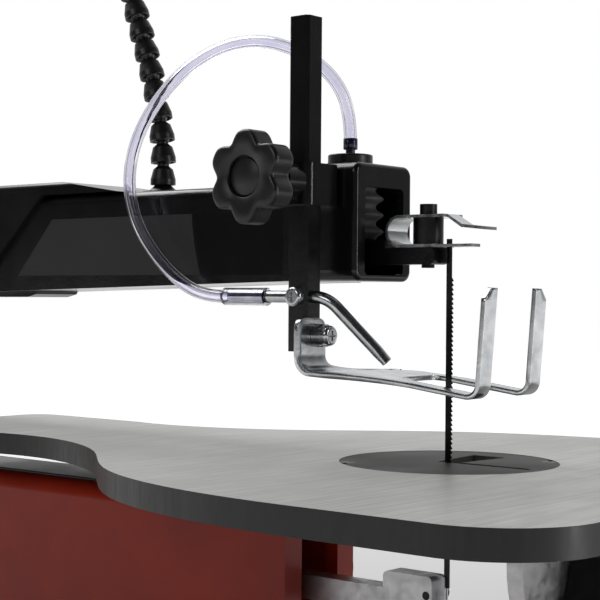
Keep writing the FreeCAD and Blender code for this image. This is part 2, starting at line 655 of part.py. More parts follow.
def insert():
    """The throat plate: a disc with the blade's slot to the front and room for the blade when tilted."""
    shape = rod((0, 0, -2.6), Z, 2.5, INSERT_RADIUS)
    slot = box(-1.6, 1.6, -34, 4, -5, 5)
    wedge = prism([V(-1.6, 4, -5), V(-1.6, -4, -5), V(27, -7, -5), V(27, 7, -5)], Z * 10)
    shape = shape.cut(slot).cut(wedge)
    for sign in (1, -1):
        notch = (sign * INSERT_RADIUS * 0.766, -sign * INSERT_RADIUS * 0.643, -5)
        shape = shape.cut(rod(notch, Z, 10, 2.2))
    for x, y in INSERT_SCREWS:
        shape = shape.cut(rod((x, y, -5), Z, 10, 1.5))
        shape = shape.cut(Part.makeCone(1.5, 2.7, 1.2, V(x, y, -1.3), Z))
    return shape


def insert_screws():
    screws = []
    for x, y in INSERT_SCREWS:
        head = Part.makeCone(1.5, 2.7, 1.2, V(x, y, -1.3), Z)
        head = head.cut(box(x - 2, x + 2, y - 0.3, y + 0.3, -0.7, 1))
        screws.append(head.fuse(rod((x, y, -8), Z, 6.7, 1.5)).removeSplitter())
    return group(screws)


TRUNNION_REAR_FACE, TRUNNION_FRONT_FACE = -50.0, -56.0
LOCK_RADIUS = 31.0


def front_trunnion():
    """The round-bottomed plate under the table's front, with the curved slot that the lock bolt slides in."""
    y, thick = TRUNNION_FRONT_FACE, TRUNNION_REAR_FACE - TRUNNION_FRONT_FACE
    centre = V(0, y, TILT_AXIS_Z)
    disc = Part.makeCylinder(40, thick, centre, Y)
    flange = box(-38, 38, y, y + 22, -TABLE_THICK - 4, -TABLE_THICK)
    shape = fuse(disc.common(box(-60, 60, y, y + thick, -80, -TABLE_THICK)), flange)
    shape = shape.cut(Part.makeCylinder(4.0 + RUNNING, thick, centre, Y))
    half = 3.3
    low = TILT_AXIS_Z - LOCK_RADIUS
    back = y + thick
    corners = [(y, low - half), (y, low + half), (back, low + half), (back, low - half), (y, low - half)]
    slot = Part.Face(Part.makePolygon([V(0, *corner) for corner in corners])).revolve(centre, Y, 45)
    shape = shape.cut(slot)
    for turn in (math.radians(270), math.radians(225)):
        end = centre + V(math.cos(turn), 0, math.sin(turn)) * LOCK_RADIUS
        shape = shape.cut(Part.makeCylinder(half, thick, end, Y))
    return shape


def rear_trunnion():
    """The small bracket under the table that turns on the C-frame's pin."""
    half = [(16, -TABLE_THICK), (16, -12), (5.5, TILT_AXIS_Z)]
    shape = front_plate(half + [(-x, z) for x, z in reversed(half)], 51, 57)
    foot = box(-16, 16, 42, 52, -TABLE_THICK - 3, -TABLE_THICK)
    shape = fuse(shape, rod((0, 51, TILT_AXIS_Z), Y, 6, 5.5), foot)
    return shape.cut(rod((0, 50, TILT_AXIS_Z), Y, 8, 3.0 + RUNNING))


POST_FRONT, POST_REAR = -71.0, -57.0


def table_post():
    """The upright on the base that carries the table's front."""
    outline = [(-10, TILT_AXIS_Z), (10, TILT_AXIS_Z), (26, -75), (30, BASE_TOP), (-30, BASE_TOP), (-26, -75)]
    shape = front_plate(outline, POST_FRONT, POST_REAR)
    shape = fuse(shape, rod((0, POST_FRONT, TILT_AXIS_Z), Y, POST_REAR - POST_FRONT, 10))
    shape = fuse(shape, box(-42, 42, POST_FRONT - 6, POST_REAR + 14, BASE_TOP, BASE_TOP + 6))
    shape = shape.cut(rod((0, POST_FRONT - 1, TILT_AXIS_Z), Y, 20, 4.0))
    shape = shape.cut(rod((0, POST_FRONT - 1, TILT_AXIS_Z - LOCK_RADIUS), Y, 20, 3.0 + RUNNING))
    window = [(-15, -90), (15, -90), (19, -170), (-19, -170)]
    return shape.cut(front_plate(window, POST_FRONT - 1, POST_REAR + 1))


def tilt_pins():
    front = fuse(rod((0, -72.5, TILT_AXIS_Z), Y, 1.5, 6.5), rod((0, POST_FRONT, TILT_AXIS_Z), Y, 23, 4.0))
    rear = fuse(rod((0, 49, TILT_AXIS_Z), Y, 1.6, 5.0), rod((0, 50, TILT_AXIS_Z), Y, 16, 3.0))
    return group([front, rear])


def tilt_lock():
    """The star knob and bolt that lock the table's tilt."""
    z = TILT_AXIS_Z - LOCK_RADIUS
    bolt, hub = rod((0, -78, z), Y, 30, 3.0), rod((0, -79, z), Y, 7.5, 8)
    shape = fuse(bolt, hub, lobed_knob((0, -92, z), Y, 14, 17, 5))
    return fuse(shape, hexagon((0, TRUNNION_REAR_FACE + 0.4, z), Y, 4, 9))


# ---------------------------------------------------------------- foot, blower and hose
def foot_clamp():
    """The block on the head's left side that holds the foot's rod, with a split boss for the lock screw."""
    x0, x1 = -38.0, -HEAD_HALF_WIDTH
    shape = rounded_box(x0, x1, 36.5, 54.0, 93.0, 108.2, 4.5, Z)
    shape = fuse(shape, rod((-46, ROD_Y, CLAMP_Z), X, 9, 6.6))
    half = ROD_SIDE / 2 + 0.08
    shape = shape.cut(box(ROD_X - half, ROD_X + half, ROD_Y - half, ROD_Y + half, 80, 120))
    return shape.cut(rod((-50, ROD_Y, CLAMP_Z), X, 15.4, 3.0 + RUNNING))


def foot_knob():
    """The six-lobed lock knob with a recessed centre."""
    shape = lobed_knob((-64, ROD_Y, CLAMP_Z), X, 10, 16.8, 6)
    shape = fuse(shape, rod((-54, ROD_Y, CLAMP_Z), X, 5, 7.5))
    shape = shape.cut(rod((-65, ROD_Y, CLAMP_Z), X, 3, 7.0))
    return shape.cut(rod((-58, ROD_Y, CLAMP_Z), X, 12, 3.0))


def foot_lock_screw():
    end = ROD_X - ROD_SIDE / 2 - 0.15
    return rod((-58, ROD_Y, CLAMP_Z), X, end + 58, 3.0)


def knob_cap():
    return rounded(rod((-63.5, ROD_Y, CLAMP_Z), X, 1.5, 6.9), 0.6, lambda e: e.CenterOfMass.x < -63.4)


def foot_rod():
    half = ROD_SIDE / 2
    shape = box(ROD_X - half, ROD_X + half, ROD_Y - half, ROD_Y + half, ROD_BOTTOM, ROD_TOP)
    corners = [e for e in shape.Edges if along(e, Z)]
    shape = shape.makeChamfer(1.3, corners)
    shape = shape.cut(rod((ROD_X, ROD_Y - 10, PIPE_Z), Y, 20, PIPE_RADIUS))
    shape = shape.cut(rod((ROD_X - 10, ROD_Y, PIPE_Z), X, 10, 1.6))
    return shape.cut(rod((ROD_X, ROD_Y - 10, FOOT_SCREW_Z), Y, 12, 1.6))


PIPE_ROUTE = [(ROD_X, 80.0, PIPE_Z), (ROD_X, 33.2, PIPE_Z), (-20.4, 15.0, 38.0)]


def blower_pipe():
    """The bent metal tube that blows dust off the line of cut."""
    outer, length, radii = bent_tube(PIPE_ROUTE, PIPE_RADIUS, 0.2)
    inner = bent_tube(PIPE_ROUTE, PIPE_RADIUS - 0.6, 0.2)[0]
    report_tube("blower pipe", outer, length, radii, PIPE_RADIUS)
    return outer.cut(inner)


def blower_screw():
    seat = (ROD_X - ROD_SIDE / 2, ROD_Y, PIPE_Z)
    return pan_screw(seat, X * -1, 3.6, 2.6, 1.6, ROD_SIDE / 2 - PIPE_RADIUS - 0.05)


def hose_sleeve():
    return ring((ROD_X, 62.0, PIPE_Z), Y, 21, 3.35, PIPE_RADIUS)


FOOT_PIVOT_HEAD = 33.4


def foot_height(y):
    """The underside of the foot's sloping plate."""
    return 27.0 + 0.125 * y


def foot_fork():
    """The hold-down foot: a tab on the rod, a plate sloping forward and two prongs turned up."""
    t = PLATE_THICK
    tab_back = ROD_Y - ROD_SIDE / 2
    tab_front = tab_back - t
    left = [(-20, -21), (-20, 3), (-24, 13), (-31, 23), (-41.3, 33), (-41.3, tab_back)]
    right = [(-25.4, tab_back), (-19, 36.5), (8, 28), (14, 22), (18, 12), (20, 3), (20, -21)]
    slot = [(12.8, -21), (12.8, 9), (8, 14), (-8, 14), (-12.8, 9), (-12.8, -21)]
    plate = prism([V(x, y, foot_height(y)) for x, y in left + right + slot], Z * t)
    tab = box(-41.3, -25.4, tab_front, tab_back, foot_height(tab_front), 52)
    tab = rounded(tab, 4, lambda e: along(e, Y) and e.CenterOfMass.z > 50)
    shape = fuse(plate, tab)
    low = foot_height(-20.9)
    profile = [
        (-20.9, low),
        (-20.9, low + t),
        (-23.0, low + t + 1.2),
        (-24.2, low + t + 3.4),
        (-26.7, PRONG_TOP),
        (-28.6, PRONG_TOP),
        (-26.1, low + 4),
        (-24.6, low + 1.2),
        (-22.5, low - 0.1),
    ]
    for side in (-1, 1):
        inner, outer = side * 12.8, side * 20.0
        prong = side_plate(profile, min(inner, outer), max(inner, outer))
        corner = [V(outer, -40, 59.2), V(outer, -40, 70), V(inner - side * 3, -40, 70)]
        shape = shape.fuse(prong.cut(prism(corner, V(0, 30, 0))))
    shape = shape.removeSplitter()
    return shape.cut(rod((ROD_X, 20, FOOT_SCREW_Z), Y, 25, 1.6))


def foot_screw():
    tab_front = ROD_Y - ROD_SIDE / 2 - PLATE_THICK
    seat = (ROD_X, FOOT_PIVOT_HEAD, FOOT_SCREW_Z)
    return pan_screw(seat, Y * -1, 3.7, 2.8, 1.55, tab_front - FOOT_PIVOT_HEAD + 8)


def foot_spring():
    """The spring washers under the foot screw's head."""
    low, high = FOOT_PIVOT_HEAD, ROD_Y - ROD_SIDE / 2 - PLATE_THICK
    coils = 4
    step = (high - low) / coils
    starts = [(ROD_X, low + n * step, FOOT_SCREW_Z) for n in range(coils)]
    return group([ring(start, Y, step * 0.8, 4.2, 1.65) for start in starts])


def bellows():
    """The air pump's rubber bellows between the head's roof and the upper rocker."""
    low, high, ridges = UPPER_PIVOT_Z + ROCKER_HALF_HEIGHT + 0.3, HEAD_TOP - 3.1, 4
    pitch = (high - low) / ridges
    outline = [(0, low)]
    for n in range(ridges):
        z = low + n * pitch
        outline += [(9.8, z), (13.0, z + pitch * 0.4), (13.0, z + pitch * 0.6)]
    outline += [(9.8, high), (0, high)]
    face = Part.Face(Part.makePolygon([V(x, CAP_Y, z) for x, z in [*outline, outline[0]]]))
    return face.revolve(V(0, CAP_Y, 0), Z, 360)


def bellows_cap():
    """The round cap on the head, with the nipple that the hose pushes on."""
    cap = rod((0, CAP_Y, HEAD_TOP + 0.8), Z, CAP_TOP - HEAD_TOP - 0.8, CAP_RADIUS)
    cap = rounded(cap, 0.7, lambda e: e.CenterOfMass.z > CAP_TOP - 1)
    neck, nipple = rod((0, CAP_Y, CAP_TOP), Z, 2.0, 1.8), rod((0, CAP_Y, CAP_TOP + 2), Z, 1.5, 2.5)
    shape = fuse(cap, rod((0, CAP_Y, HEAD_TOP), Z, 0.8, 9.6), neck, nipple)
    shape = fuse(shape, rod((0, CAP_Y, HEAD_TOP - 3), Z, 3.2, 4.9))
    return shape.cut(rod((0, CAP_Y, HEAD_TOP - 4), Z, 10, 1.2))


def air_hose():
    solid, length, radii = bent_tube(HOSE_ROUTE, HOSE_RADIUS)
    report_tube("air hose", solid, length, radii, HOSE_RADIUS)
    return solid


# ---------------------------------------------------------------- controls
PANEL_X0, PANEL_X1, PANEL_Y0, PANEL_Y1 = 44.0, 106.0, -70.0, -22.0


def control_box():
    """The switch box on the base's front right, with a sloping face."""
    front, rear, roof = PANEL_Y0, PANEL_Y1, -140
    outline = [(front, BASE_TOP), (front, -172), (front + 22, roof), (rear, roof), (rear, BASE_TOP)]
    shape = side_plate(outline, PANEL_X0, PANEL_X1)
    shape = rounded(shape, 4, lambda e: along(e, Z))
    pocket = panel_turned(box(80, 98, -9.2, 9.2, -12, 0.01))
    return shape.cut(pocket).cut(panel_turned(rod((60, 0, -8), Z, 12, 3.0 + RUNNING)))


def panel_turned(shape):
    """Moves a shape drawn on z = 0 to the control box's sloping face."""
    face = math.degrees(math.atan2(32, 22))
    shape.rotate(V(0, 0, 0), X, face)
    shape.translate(V(0, PANEL_Y0 + 11, -156))
    return shape


def speed_dial():
    shape = fuse(rod((60, 0, 0.4), Z, 11, 11), rod((60, 0, -7), Z, 8, 3.0))
    grip = box(59, 61, 2, 11.5, 11, 12.2)
    return panel_turned(fuse(shape, grip))


def power_switch():
    """The rocker switch's paddle, turning on its middle."""
    outline = [V(80.4, -8.4, -4), V(80.4, 8.4, -4), V(80.4, 8.4, 3.6), V(80.4, 0, 1.2), V(80.4, -8.4, 1.0)]
    return panel_turned(prism(outline, X * 17.2))


# ---------------------------------------------------------------- lamp on its jointed neck
LAMP_X, LAMP_Y, SEGMENT = 12.0, 160.0, 9.7
NECK_SECTIONS, SECTION_SEGMENTS = 3, 8


def neck_leans():
    """Each neck segment's lean towards the rear, in degrees: up with a sway, then over to the front."""
    leans = []
    for n in range(NECK_SECTIONS * SECTION_SEGMENTS):
        if n < 13:
            leans.append(20.0 * math.sin(math.pi * n / 12.5))
        else:
            leans.append(-12.0 * (n - 12))
    return leans


def neck_joints():
    """The ball centres from the lamp's base up to the lamp's head, and the lean of each segment."""
    at = V(LAMP_X, LAMP_Y, ARM_TOP + 7)
    joints = [at]
    for lean in neck_leans():
        t = math.radians(lean)
        at = at + V(0, math.sin(t), math.cos(t)) * SEGMENT
        joints.append(at)
    return joints


def leaned(shape, at, lean):
    """Turns a shape drawn upright at the origin to a segment's place."""
    shape.rotate(V(0, 0, 0), X, -lean)
    shape.translate(at)
    return shape


def neck_ball(height):
    return Part.makeSphere(3.5, V(0, 0, height))


def neck_segment():
    """One segment of the neck: a flared socket at its foot and a ball on its top."""
    outline = [(0, -1.6), (5.5, -1.6), (5.5, 0.8), (4.3, 5.2), (2.6, 6.6), (2.6, SEGMENT), (0, SEGMENT)]
    face = Part.Face(Part.makePolygon([V(x, 0, z) for x, z in [*outline, outline[0]]]))
    shape = fuse(face.revolve(V(0, 0, 0), Z, 360), neck_ball(SEGMENT))
    hollow = fuse(Part.makeSphere(3.85, V(0, 0, 0)), Part.makeCone(4.9, 3.85, 1.7, V(0, 0, -1.7), Z))
    return shape.cut(hollow)


def neck_section(index):
    """One stretch of the neck, segment by segment."""
    joints, leans = neck_joints(), neck_leans()
    first = index * SECTION_SEGMENTS
    numbers = range(first, first + SECTION_SEGMENTS)
    return group([leaned(neck_segment(), joints[n], leans[n]) for n in numbers])


def lamp_base():
    at = V(LAMP_X, LAMP_Y, ARM_TOP)
    shape = fuse(Part.makeCylinder(8, 2.5, at, Z), Part.makeCone(6.5, 3.2, 3.0, at + Z * 2.5, Z))
    return fuse(shape, Part.makeCylinder(2.6, 7, at, Z), Part.makeSphere(3.5, at + Z * 7))


def lamp_head():
    """The lamp's shade: a socket on the neck's last ball and a bell open at its end."""
    outer = [(0, -1.6), (5.5, -1.6), (6.5, 2), (8, 10), (17, 20), (20, 40)]
    inner = [(17.8, 40), (14.8, 21.5), (6, 13), (0, 13), (0, -1.6)]
    face = Part.Face(Part.makePolygon([V(x, 0, z) for x, z in outer + inner]))
    shape = face.revolve(V(0, 0, 0), Z, 360)
    mouth = Part.makeCone(4.9, 3.85, 1.7, V(0, 0, -1.7), Z)
    shape = shape.cut(fuse(Part.makeSphere(3.85, V(0, 0, 0)), mouth))
    return leaned(shape, neck_joints()[-1], neck_leans()[-1])


def lamp_bulb():
    shape = fuse(rod((0, 0, 13), Z, 10, 5), Part.makeSphere(8, V(0, 0, 27)))
    return leaned(shape, neck_joints()[-1], neck_leans()[-1])


# ---------------------------------------------------------------- writing the nodes
def pivot_pins():
    upper = rod((-ARM_HALF_WIDTH + 4, PIVOT_Y, UPPER_PIVOT_Z), X, 2 * (ARM_HALF_WIDTH - 4), PIN_RADIUS)
    inner = FRAME_HALF_WIDTH - 5
    lower = rod((-inner, PIVOT_Y, LOWER_PIVOT_Z), X, 2 * inner, PIN_RADIUS)
    return group([upper, lower])


def main():
    os.makedirs("parts", exist_ok=True)
    left_half = arm_half()
    root_screws = [frame_bolts(), cover_screws(), arm_screws(), motor_bolts()]
    parts = {
        "base": base(),
        "c_frame": c_frame(),
        "side_cover": side_cover(),
        "housing_screws": group(root_screws),
        "dust_port": dust_port(),
        "cord_gland": cord_gland(),
        "arm_housing_left": left_half,
        "arm_housing_right": left_half.mirror(V(0, 0, 0), X),
        "arm_rear_cover": group([rear_cover(), belly_plate()]),
        "arm_labels": group([side_panel(LABEL_OUTLINE, -1), side_panel(LABEL_OUTLINE, 1)]),
        "arm_gloss_panels": group([side_panel(GLOSS_OUTLINE, -1), side_panel(GLOSS_OUTLINE, 1)]),
        "pivot_pins": pivot_pins(),
        "upper_rocker_arm": upper_rocker(),
        "lower_rocker_arm": lower_rocker(),
        "upper_bushing": bushing(UPPER_PIVOT_Z),
        "lower_bushing": bushing(LOWER_PIVOT_Z),
        "upper_grip_screw": grip_screw(UPPER_GRIP_Z),
        "lower_grip_screw": grip_screw(LOWER_GRIP_Z),
        "blade": blade(),
        "blade_clamp_plate": clamp_plate(),
        "blade_clamp_screw": group([clamp_spacer(), clamp_screw()]),
        "tension_rod": group([tension_rod(), tension_nut()]),
        "tension_spring": tension_spring(),
        "tension_knob": tension_knob(),
        "connecting_rod": connecting_rod(),
        "rocker_pin": rocker_pin(),
        "crank": crank(),
        "motor_shaft": motor_shaft(),
        "motor_flange": motor_flange(),
        "motor_can": motor_can(),
        "motor_end_cover": motor_cover(),
        "motor_bearings": group([bearing(16.0, 12.0, 10.0), bearing(MOTOR_CAN_END + 5, 8.0, 6.0)]),
        "stator": stator(),
        "rotor_and_fan": group([rotor(), cooling_fan()]),
        "table": table(),
        "table_insert": insert(),
        "insert_screws": insert_screws(),
        "trunnions": group([front_trunnion(), rear_trunnion()]),
        "table_post": table_post(),
        "tilt_pins": tilt_pins(),
        "tilt_lock_knob": tilt_lock(),
        "foot_clamp": foot_clamp(),
        "foot_lock_knob": group([foot_knob(), foot_lock_screw(), knob_cap()]),
        "foot_rod": foot_rod(),
        "blower_pipe": blower_pipe(),
        "blower_screw": blower_screw(),
        "hose_sleeve": hose_sleeve(),
        "foot_fork": foot_fork(),
        "foot_screw": group([foot_screw(), foot_spring()]),
        "bellows": bellows(),
        "bellows_cap": bellows_cap(),
        "air_hose": air_hose(),
        "control_box": control_box(),
        "speed_dial": speed_dial(),
        "power_switch": power_switch(),
        "lamp_base": lamp_base(),
        "lamp_head": group([lamp_head(), lamp_bulb()]),
    }
    for index in range(NECK_SECTIONS):
        parts[f"lamp_neck_{index + 1}"] = neck_section(index)
    for name, shape in parts.items():
        save(name, shape)
    print(len(parts), "nodes")


main()
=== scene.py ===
"""The looks of the bench scroll saw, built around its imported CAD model. Lengths in the helpers' arguments are
millimetres in the blade's frame: x = 0, y = 0 is the blade's line and z = 0 the table's top."""

import bpy
import bmesh
import math
from mathutils import Matrix, Vector


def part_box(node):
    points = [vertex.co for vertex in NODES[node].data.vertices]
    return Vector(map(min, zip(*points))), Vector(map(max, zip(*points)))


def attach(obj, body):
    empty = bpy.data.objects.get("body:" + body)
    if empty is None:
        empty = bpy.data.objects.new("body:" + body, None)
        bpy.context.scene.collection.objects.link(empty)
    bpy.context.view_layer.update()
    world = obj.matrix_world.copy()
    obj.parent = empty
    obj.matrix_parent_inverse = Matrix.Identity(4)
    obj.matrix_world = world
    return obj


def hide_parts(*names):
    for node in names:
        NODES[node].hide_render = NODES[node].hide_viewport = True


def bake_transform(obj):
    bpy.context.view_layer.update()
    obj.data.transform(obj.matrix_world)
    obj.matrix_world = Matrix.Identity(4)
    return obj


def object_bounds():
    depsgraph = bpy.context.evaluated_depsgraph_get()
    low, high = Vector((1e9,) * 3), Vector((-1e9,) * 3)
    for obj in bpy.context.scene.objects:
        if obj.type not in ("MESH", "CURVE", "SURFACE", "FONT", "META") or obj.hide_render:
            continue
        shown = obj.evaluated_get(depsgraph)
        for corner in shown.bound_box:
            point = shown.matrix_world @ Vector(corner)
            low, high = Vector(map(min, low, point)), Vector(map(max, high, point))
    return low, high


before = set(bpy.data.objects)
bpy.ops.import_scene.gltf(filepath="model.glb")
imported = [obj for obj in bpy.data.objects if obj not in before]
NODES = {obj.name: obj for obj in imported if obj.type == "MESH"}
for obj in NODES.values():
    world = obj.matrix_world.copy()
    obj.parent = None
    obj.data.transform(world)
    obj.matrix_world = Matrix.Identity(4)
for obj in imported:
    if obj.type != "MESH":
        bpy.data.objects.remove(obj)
CAD_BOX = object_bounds()

BLADE_LOW, BLADE_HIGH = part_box("blade")
BLADE_AT = (BLADE_LOW + BLADE_HIGH) / 2
TABLE_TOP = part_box("table")[1].z
MM = 0.001


def at(x, y, z):
    """A point of the blade's frame, in millimetres, as a point of the row's frame, in metres."""
    return Vector((BLADE_AT.x + x * MM, BLADE_AT.y + y * MM, TABLE_TOP + z * MM))


# ---------------------------------------------------------------- camera
VIEW_TURN = math.radians(40.0)  # the line of sight, from +X towards +Y
# from the blade to the eye: along the sight line, across it and up
VIEW_BACK, VIEW_SIDE, EYE_HEIGHT = 545.0, 54.5, 59.5
FOCAL_LENGTH, SENSOR = 90.0, 36.0
PITCH_DOWN, ROLL = math.radians(0.12), math.radians(0.45)


def make_camera():
    ahead = Vector((math.cos(VIEW_TURN), math.sin(VIEW_TURN), 0))
    right = Vector((math.sin(VIEW_TURN), -math.cos(VIEW_TURN), 0))
    eye = at(0, 0, EYE_HEIGHT) - (ahead * VIEW_BACK + right * VIEW_SIDE) * MM
    data = bpy.data.cameras.new("camera")
    data.sensor_width = SENSOR
    data.lens = FOCAL_LENGTH
    data.clip_start = 0.01
    camera = bpy.data.objects.new("camera", data)
    bpy.context.scene.collection.objects.link(camera)
    up = Vector((0, 0, 1))
    turned = Matrix((right, up, -ahead)).transposed()
    tip = Matrix.Rotation(-PITCH_DOWN, 3, "X") @ Matrix.Rotation(ROLL, 3, "Z")
    camera.matrix_world = Matrix.Translation(eye) @ (turned @ tip).to_4x4()
    bpy.context.scene.camera = camera


make_camera()


# ---------------------------------------------------------------- materials
class Shader:
    """A node material under construction."""

    def __init__(self, name):
        self.material = bpy.data.materials.new(name)
        self.material.use_nodes = True
        self.tree = self.material.node_tree
        self.principled = self.tree.nodes["Principled BSDF"]
        coordinates = self.add("ShaderNodeTexCoord")
        self.place = coordinates.outputs["Object"]
        self.normal = coordinates.outputs["Normal"]

    def add(self, kind, **settings):
        node = self.tree.nodes.new(kind)
        for key, value in settings.items():
            setattr(node, key, value)
        return node

    def link(self, source, target):
        self.tree.links.new(source, target)

    def put(self, socket, value):
        """A plain value on the shader, or a link from another node's output."""
        if isinstance(value, bpy.types.NodeSocket):
            self.link(value, self.principled.inputs[socket])
        else:
            self.principled.inputs[socket].default_value = value

    def noise(self, scale, detail=4.0, roughness=0.55, stretch=(1, 1, 1)):
        mapping = self.add("ShaderNodeMapping")
        mapping.inputs["Scale"].default_value = stretch
        self.link(self.place, mapping.inputs["Vector"])
        node = self.add("ShaderNodeTexNoise")
        node.inputs["Scale"].default_value = scale
        node.inputs["Detail"].default_value = detail
        node.inputs["Roughness"].default_value = roughness
        self.link(mapping.outputs["Vector"], node.inputs["Vector"])
        return node.outputs["Fac"]

    def ramp(self, source, low, high, start=0.35, end=0.65):
        """Maps a 0 to 1 pattern between two greys or colours."""
        node = self.add("ShaderNodeValToRGB")
        node.color_ramp.elements[0].position = start
        node.color_ramp.elements[1].position = end
        for element, value in zip(node.color_ramp.elements, (low, high)):
            element.color = (*value, 1) if hasattr(value, "__len__") else (value, value, value, 1)
        self.link(source, node.inputs["Fac"])
        return node.outputs["Color"]

    def spread(self, source, low, high, start=0.3, end=0.7):
        """Maps a 0 to 1 pattern between two numbers."""
        node = self.add("ShaderNodeMapRange")
        for key, value in (("From Min", start), ("From Max", end), ("To Min", low), ("To Max", high)):
            node.inputs[key].default_value = value
        self.link(source, node.inputs["Value"])
        return node.outputs["Result"]

    def mix(self, share, first, second):
        node = self.add("ShaderNodeMix", data_type="RGBA")
        for key, value in (("Factor", share), ("A", first), ("B", second)):
            socket = next(s for s in node.inputs if s.name == key and s.enabled)
            if isinstance(value, bpy.types.NodeSocket):
                self.link(value, socket)
            else:
                socket.default_value = value if key == "Factor" else (*value, 1)
        return next(s for s in node.outputs if s.enabled)

    def bump(self, height, depth_mm, strength=1.0):
        node = self.add("ShaderNodeBump")
        node.inputs["Strength"].default_value = strength
        node.inputs["Distance"].default_value = depth_mm * MM
        self.link(height, node.inputs["Height"])
        self.link(node.outputs["Normal"], self.principled.inputs["Normal"])

    def facing_up(self, low=0.85, high=0.97):
        """1 where the surface faces up in its own object, else 0."""
        split = self.add("ShaderNodeSeparateXYZ")
        self.link(self.normal, split.inputs["Vector"])
        return self.spread(split.outputs["Z"], 0.0, 1.0, low, high)


def paint(name, colour, rough=(0.3, 0.4), grain=900.0, depth=0.03, coat=0.0, specular=0.5):
    """Sprayed paint or moulded plastic: nearly even colour with a fine orange-peel or grain."""
    s = Shader(name)
    wide = s.noise(35.0)
    fine = s.noise(grain, 2.0)
    dull = tuple(c * 0.82 for c in colour)
    s.put("Base Color", s.ramp(wide, dull, colour))
    s.put("Roughness", s.spread(wide, *rough))
    s.put("Specular IOR Level", specular)
    s.put("Coat Weight", coat)
    s.put("Coat Roughness", 0.12)
    s.bump(fine, depth)
    return s.material


def plated(name, bright, dark, rough=(0.16, 0.34), scratch=700.0, stretch=(1, 1, 1)):
    """Bare or plated metal with faint scratches and dull patches."""
    s = Shader(name)
    patches = s.noise(120.0, 5.0)
    scratches = s.noise(scratch, 3.0, stretch=stretch)
    s.put("Base Color", s.ramp(patches, dark, bright))
    s.put("Metallic", 1.0)
    s.put("Roughness", s.spread(s.noise(260.0, 4.0), *rough))
    s.bump(scratches, 0.012)
    return s.material


def table_metal():
    """The table: a ground metal top with streaks, and a dark rough casting at its edge and underside."""
    s = Shader("table_ground_metal")
    streaks = s.noise(60.0, 6.0, 0.6, (0.35, 9.0, 1.0))
    blotches = s.noise(14.0, 6.0, 0.6)
    ground = s.mix(s.spread(blotches, 0.0, 1.0), (0.46, 0.46, 0.44), (0.64, 0.64, 0.62))
    lined = s.mix(s.spread(streaks, 0.0, 0.5), ground, (0.37, 0.37, 0.355))
    up = s.facing_up()
    s.put("Base Color", s.mix(up, (0.010, 0.011, 0.010), lined))
    metal = s.spread(up, 0.0, 0.65, 0.0, 1.0)
    s.put("Metallic", metal)
    s.put("Roughness", s.spread(streaks, 0.34, 0.50))
    s.bump(streaks, 0.015)
    return s.material


def clear_tube():
    s = Shader("clear_pvc")
    s.put("Base Color", s.ramp(s.noise(80.0), (0.86, 0.85, 0.96), (0.93, 0.92, 1.0)))
    s.put("Transmission Weight", 1.0)
    s.put("IOR", 1.45)
    s.put("Roughness", s.spread(s.noise(300.0), 0.02, 0.08))
    return s.material


def frame_paint():
    """Red-orange enamel."""
    s = Shader("orange_enamel")
    wide = s.noise(20.0)
    colour = s.ramp(wide, (0.24, 0.013, 0.003), (0.31, 0.020, 0.004))
    s.put("Base Color", colour)
    s.put("Roughness", s.spread(wide, 0.28, 0.36))
    s.put("Specular IOR Level", 0.22)
    s.put("Coat Weight", 0.06)
    s.put("Coat Roughness", 0.1)
    s.bump(s.noise(700.0, 2.0), 0.03)
    return s.material


MATERIALS = {
    "powder_black": paint("powder_black", (0.006, 0.006, 0.0065), (0.16, 0.24), 650.0, 0.03, specular=0.45),
    "gloss_black": paint("gloss_black", (0.008, 0.008, 0.009), (0.08, 0.14), 300.0, 0.01, coat=0.5),
    "label_grey": paint("label_grey", (0.030, 0.030, 0.032), (0.5, 0.6), 1500.0, 0.02, specular=0.3),
    "black_plastic": paint("black_plastic", (0.009, 0.009, 0.0095), (0.3, 0.4), 1400.0, 0.04),
    "red_plastic": paint("red_plastic", (0.55, 0.03, 0.015), (0.25, 0.35), 1400.0, 0.03),
    "rubber": paint("rubber", (0.085, 0.083, 0.088), (0.5, 0.65), 1800.0, 0.05, specular=0.3),
    "insert_grey": paint("insert_grey", (0.062, 0.060, 0.058), (0.5, 0.62), 500.0, 0.06, specular=0.2),
    "orange": frame_paint(),
    "zinc": plated("zinc_plate", (0.66, 0.67, 0.68), (0.50, 0.52, 0.54), (0.14, 0.28)),
    "steel": plated("plain_steel", (0.62, 0.61, 0.60), (0.45, 0.44, 0.43), (0.25, 0.4)),
    "black_steel": plated("black_oxide_steel", (0.035, 0.035, 0.037), (0.018, 0.018, 0.02), (0.3, 0.45)),
    "aluminium": plated("cast_aluminium", (0.66, 0.66, 0.67), (0.5, 0.5, 0.51), (0.35, 0.55), 300.0),
    "bronze": plated("bronze", (0.62, 0.40, 0.18), (0.45, 0.28, 0.12), (0.25, 0.4)),
    "collar": paint("dark_blue_collar", (0.012, 0.012, 0.05), (0.2, 0.3), 900.0, 0.01, specular=0.5),
    "table": table_metal(),
    "clear": clear_tube(),
}

